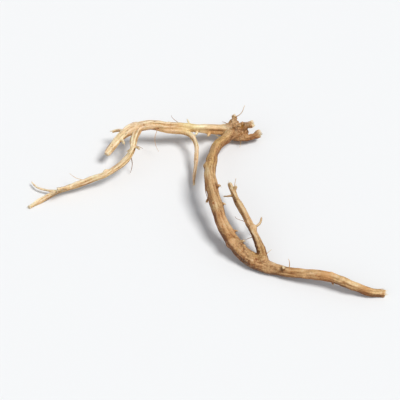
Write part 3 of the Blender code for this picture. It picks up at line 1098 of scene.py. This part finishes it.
def driedRootSkinMaterial():
    # Air-dried ginseng skin: shrunk into folds and fibres, so dull, pale on its ridges, brown in its folds.
    # Its colour also carries painted light and shade: darker hollows and undersides, and paler and browner
    # limbs.
    look = driedSkin
    material = bpy.data.materials.new("airDriedRootSkin")
    material.use_nodes = True
    tree = material.node_tree
    tree.nodes.clear()
    place = addNode(tree, "TexCoord").outputs["Object"]
    grain = addNode(tree, "Attribute", settings={"attribute_name": "grain"}).outputs["Vector"]
    # the marks and noises that the colours and the bumps are made from; the first is 1 all over
    masks = {"all": 1.0}
    for name in (
        "hollow", "groove", "scar", "broken", "crust", "resin", "border", "flecked", "blushAndShade", "sallowAndLight",
        "paintedShadeAndBrowning",
    ):
        masks[name] = addNode(tree, "Attribute", settings={"attribute_name": name}).outputs["Fac"]
    masks["calm"] = addNode(tree, "MapRange", {
        "Value": masks["border"], "From Min": 1.0, "From Max": 0.0,
    }).outputs[0]
    for name, detail in (("fibre", 3.0), ("streak", 2.0)):
        # these run along the branch, and go flat where two branches meet
        across = 1 / look[name + "Spacing"]
        stretched = addNode(tree, "Mapping", {
            "Vector": grain, "Scale": (1 / look[name + "Length"], across, across),
        }).outputs[0]
        wave = addNode(tree, "TexNoise", {
            "Vector": stretched, "Scale": 1.0, "Detail": detail, "Roughness": 0.6,
        }).outputs["Fac"]
        masks[name] = addNode(tree, "Mix", {0: masks["calm"], 2: 0.5, 3: wave}).outputs[0]
    for name, detail in (("blotch", 4.0), ("zone", 2.0), ("speck", 2.0)):  # these have no direction
        masks[name] = addNode(tree, "TexNoise", {
            "Vector": place, "Scale": 1 / (look[name + "Size"] * mm), "Detail": detail, "Roughness": 0.6,
        }).outputs["Fac"]
    poreSpace = addNode(tree, "Mapping", {
        "Vector": grain, "Scale": (look["poreStretch"], 1.0, 1.0),
    }).outputs[0]
    masks["pore"] = addNode(tree, "TexVoronoi", {
        "Vector": poreSpace, "Scale": 1 / look["poreSpacing"],
    }).outputs["Distance"]
    masks["line"] = addNode(tree, "ValToRGB", {"Fac": masks["streak"]}, stops=[
        (0.465, "#000000"), (0.5, "#FFFFFF"), (0.535, "#000000"),
    ]).outputs["Color"]
    fleck = addNode(tree, "TexVoronoi", {
        "Vector": place, "Scale": 1 / (look["fleckSpacing"] * mm), "Smoothness": 0.55,
    }, {"feature": "SMOOTH_F1"})
    masks["fleckTint"] = fleck.outputs["Color"]
    masks["fleckEdge"] = fleck.outputs["Distance"]

    masks["shade"] = masks["hollow"]
    for name in ("fibre", "blotch", "streak", "speck"):
        masks["shade"] = addNode(tree, "Math", {
            0: masks[name], 1: look[name + "Shade"], 2: masks["shade"],
        }, {"operation": "MULTIPLY_ADD"}).outputs[0]
    for name, source, none, full, most in (
        # 0 where the source is at the first number, and as much as the mask named last where at the second
        ("depth", "shade", *look["shadeRange"], "all"),
        ("hue", "zone", 0.38, 0.62, "all"),
        ("poreArea", "blotch", 0.48, 0.6, "calm"),
        ("poreDark", "pore", 0.26, 0.12, "poreArea"),  # patches of pores: short dark dashes along the branch
        ("lineArea", "blotch", 0.35, 0.6, "calm"),
        ("fineLine", "line", 0.0, 1.0, "lineArea"),  # hair-thin brown lines, where a streak turns
        ("paleFleck", "fleckTint", 0.5, 0.66, "flecked"),  # scaly bark of the crown and of the low bend
        ("brownFleck", "fleckTint", 0.46, 0.32, "flecked"),
        ("fleckRise", "fleckEdge", 0.7, 0.1, "flecked"),
        ("rusty", "speck", 0.35, 0.6, "scar"),
        ("torn", "speck", 0.1, 0.7, "broken"),
    ):
        masks[name] = addNode(tree, "MapRange", {
            "Value": masks[source], "From Min": none, "From Max": full, "To Max": masks[most],
        }).outputs[0]

    # pale ridge to dark crevice: the skin's own browning, with the painted shade of hollows and undersides
    # and each limb's painted light and shade
    colour = addNode(tree, "ValToRGB", {"Fac": masks["depth"]}, stops=[
        (0.0, look["ridge"]), (0.42, look["flesh"]), (0.72, look["furrow"]), (1.0, look["crevice"]),
    ]).outputs["Color"]
    tint = addNode(tree, "Mix", {
        0: masks["hue"], 6: toLinear(look["creamTint"]), 7: toLinear(look["pinkTint"]),
    }, {"data_type": "RGBA"}).outputs[2]
    colour = addNode(tree, "Mix", {
        0: 0.7, 6: colour, 7: tint,
    }, {"data_type": "RGBA", "blend_type": "MULTIPLY"}).outputs[2]
    for name, strength, over, way in (  # laid over the body colour one after another
        # painted shade and browning on the browner limbs
        ("paintedShadeAndBrowning", 1.0, "paintedShadeAndBrowningTint", "MULTIPLY"),
        # pinker, browner skin, and painted shade on the right leg's left side
        ("blushAndShade", 0.65, "blushAndShadeTint", "MULTIPLY"),
        # paler, yellower skin, and painted light on the tops of the legs
        ("sallowAndLight", 0.7, "sallowAndLightTint", "MULTIPLY"),
        ("fineLine", 0.38, "furrow", "MIX"),
        # folds and seams: browner skin, and painted shade
        ("groove", 0.45, "furrow", "MIX"),
        ("poreDark", 0.55, "crevice", "MIX"),
        ("rusty", 0.8, "rust", "MIX"),
        ("crust", 0.7, "crust", "MIX"),
        ("paleFleck", 0.35, "paleFleck", "MIX"),
        ("brownFleck", 0.4, "brownFleck", "MIX"),
        ("resin", 0.8, "resin", "MIX"),
        ("torn", 1.0, "brokenFace", "MIX"),
    ):
        share = addNode(tree, "Math", {0: masks[name], 1: strength}, {"operation": "MULTIPLY"}).outputs[0]
        colour = addNode(tree, "Mix", {
            0: share, 6: colour, 7: toLinear(look[over]),
        }, {"data_type": "RGBA", "blend_type": way}).outputs[2]

    roughness = addNode(tree, "MapRange", {
        "Value": masks["resin"], "To Min": look["roughness"], "To Max": look["resinRoughness"],
    }).outputs[0]
    normal = None
    for name, rise in look["bumps"].items():
        bump = {"Strength": 1.0, "Distance": abs(rise) * mm, "Height": masks[name]}
        if normal:
            bump["Normal"] = normal
        normal = addNode(tree, "Bump", bump, {"invert": rise < 0}).outputs[0]
    shader = addNode(tree, "BsdfPrincipled", {
        "Base Color": colour, "Roughness": roughness, "IOR": look["ior"], "Normal": normal,
        "Specular IOR Level": look["specular"], "Subsurface Weight": look["glow"],
        "Subsurface Scale": look["glowDepth"] * mm,
    }).outputs[0]
    addNode(tree, "OutputMaterial", {"Surface": shader})
    return material


studio = {
    "floor": "#E8EAEC",
    "floorReach": 1.5,
    "floorRoughness": 0.9,
    "floorSpecular": 0.1,
    "key": {"from": (0.4, -0.14, 0.72), "angle": 22.0, "strength": 2.75, "colour": "#FFFDFA"},
    "side": {"from": (-0.55, -0.42, 0.42), "angle": 60.0, "strength": 0.45, "colour": "#FAFBFF"},
    "air": "#FAFCFF",
    "airStrength": 0.34,
    "lens": 85.0,
    "sensor": 36.0,
    "elevation": 50.0,  # degrees that the camera looks down at the root
    "fill": 0.87,  # share of the frame's width that the root takes
    "aim": (0.0, -0.001, 0.004),
}


def makeFloor():
    mesh = bpy.data.meshes.new("floor")
    work = bmesh.new()
    bmesh.ops.create_grid(work, x_segments=1, y_segments=1, size=studio["floorReach"])
    work.to_mesh(mesh)
    work.free()
    floor = addObject("floor", mesh)
    material = bpy.data.materials.new("matteStudioPaper")  # matte paper sweep: no gloss, soft contact shadows
    material.use_nodes = True
    shader = material.node_tree.nodes["Principled BSDF"]
    shader.inputs["Base Color"].default_value = toLinear(studio["floor"])
    shader.inputs["Roughness"].default_value = studio["floorRoughness"]
    shader.inputs["Specular IOR Level"].default_value = studio["floorSpecular"]
    mesh.materials.append(material)


def addLight(name, look):
    # a far softbox: its light is even over the whole floor, and its angle softens the shadows
    lamp = bpy.data.lights.new(name, "SUN")
    lamp.angle = math.radians(look["angle"])
    lamp.energy = look["strength"]
    lamp.color = toLinear(look["colour"])[:3]
    light = addObject(name, lamp)
    light.location = look["from"]
    light.rotation_euler = (-Vector(look["from"])).to_track_quat("-Z", "Y").to_euler()


def makeStudio():
    makeFloor()
    addLight("keyLight", studio["key"])
    addLight("fillLight", studio["side"])
    world = bpy.data.worlds.new("studioAir")
    world.use_nodes = True
    background = world.node_tree.nodes["Background"]
    background.inputs["Color"].default_value = toLinear(studio["air"])
    background.inputs["Strength"].default_value = studio["airStrength"]
    bpy.context.scene.world = world
    bpy.context.scene.view_settings.view_transform = "Standard"


def makeCamera():
    camera = addObject("camera", bpy.data.cameras.new("camera"))
    camera.data.lens = studio["lens"]
    camera.data.sensor_width = studio["sensor"]
    low, high = cadBox
    width = (high[0] - low[0]) / studio["fill"]
    distance = width * studio["lens"] / studio["sensor"]
    lift = math.radians(studio["elevation"])
    aim = Vector(studio["aim"])
    camera.location = aim + distance * Vector((0, -math.cos(lift), math.sin(lift)))
    camera.rotation_euler = (math.radians(90) - lift, 0, 0)
    camera.data.clip_start = 0.01
    bpy.context.scene.camera = camera


def dress(piece, material):
    piece.data.materials.clear()
    piece.data.materials.append(material)
    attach(piece, "root")


branches = makeBranches()
rootSkin, ground = makeRootSkin(branches)
skinMaterial = driedRootSkinMaterial()
dress(rootSkin, skinMaterial)
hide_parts("ginseng_root")
print("root skin made")
dress(makeHairRootlets(), skinMaterial)
dress(makeTornFibres(branches), skinMaterial)
dress(makeLooseFibres(ground), skinMaterial)
print("hair rootlets and fibres made")
makeStudio()
makeCamera()
print("studio and camera set")
